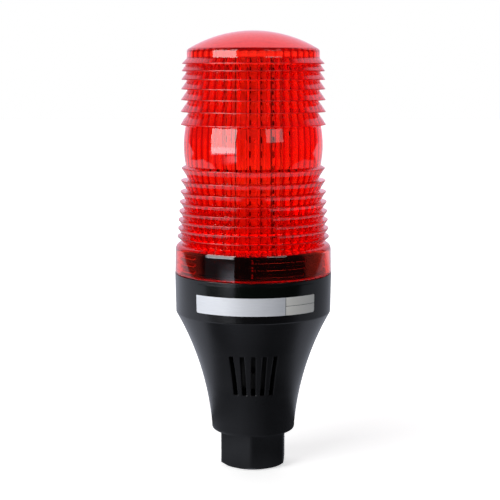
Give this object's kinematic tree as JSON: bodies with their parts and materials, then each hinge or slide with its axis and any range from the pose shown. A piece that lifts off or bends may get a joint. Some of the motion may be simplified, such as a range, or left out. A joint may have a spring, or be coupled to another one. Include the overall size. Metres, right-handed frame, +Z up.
{
  "type": "strobe beacon",
  "caption": "Pole-mounted signal beacon: a red ringed and fluted lens twist-locked onto a black bell-shaped base with a six-sided threaded neck, an LED tower and its driver inside.",
  "frame": {"origin": "centre of the neck's lower face, on the object's axis", "axes": "+Z up along the axis from the neck to the dome, -Y towards the labelled front, +X to the viewer's right"},
  "size_m": [0.0702, 0.0704, 0.195],
  "materials": {
    "red_lens": "clear red polycarbonate, moulded gloss",
    "black_housing": "fine satin moulded black",
    "label_foil": "silver foil",
    "black_rubber": "matte",
    "zinc_steel": "zinc plated",
    "green_board": "solder mask",
    "white_board": "white solder mask",
    "white_plastic": "satin white",
    "black_inner": "moulded black",
    "ferrite": "sintered grey",
    "yellow_tape": "taped winding",
    "capacitor_sleeve": "shrink sleeve",
    "yellow_case": "moulded case",
    "black_epoxy": "moulded epoxy",
    "fuse_brown": "moulded can",
    "blue_lacquer": "lacquer",
    "green_plastic": "moulded",
    "resistor_body": "lacquer",
    "led_white": "white case with pale phosphor"
  },
  "bodies": {
    "base": {"base_housing": "black_housing", "mount_ring": "black_housing", "rating_label": "label_foil", "lens_seal": "black_rubber", "ring_screws": "zinc_steel", "tray_screws": "zinc_steel", "carrier_screws": "zinc_steel", "terminal_screws": "zinc_steel", "driver_board": "green_board", "reflector_tray": "white_plastic", "led_carrier": "black_inner", "tower_cap": "black_inner", "transformer_core": "ferrite", "transformer_bobbin": "black_inner", "transformer_winding": "yellow_tape", "bulk_capacitor": "capacitor_sleeve", "smoothing_capacitor": "capacitor_sleeve", "film_capacitor": "yellow_case", "bridge_rectifier": "black_epoxy", "fuse_can": "fuse_brown", "varistor": "blue_lacquer", "terminal_block": "green_plastic", "controller_chip": "black_epoxy", "driver_transistor": "black_epoxy", "resistors": "resistor_body", "led_connector": "white_plastic", "sounder_case": "black_inner", "led_resistors": "black_epoxy", "led_board_front": "white_board", "leds_front": "led_white", "led_board_right": "white_board", "leds_right": "led_white", "led_board_rear": "white_board", "leds_rear": "led_white", "led_board_left": "white_board", "leds_left": "led_white"},
    "lens_body": {"lens": "red_lens"}
  },
  "joints": [
    {"name": "lens_twist", "type": "hinge", "parent": "base", "child": "lens_body", "pos_m": [0, 0, 0.0935], "axis": [0, 0, 1], "range_deg": [0, 45]}
  ]
}
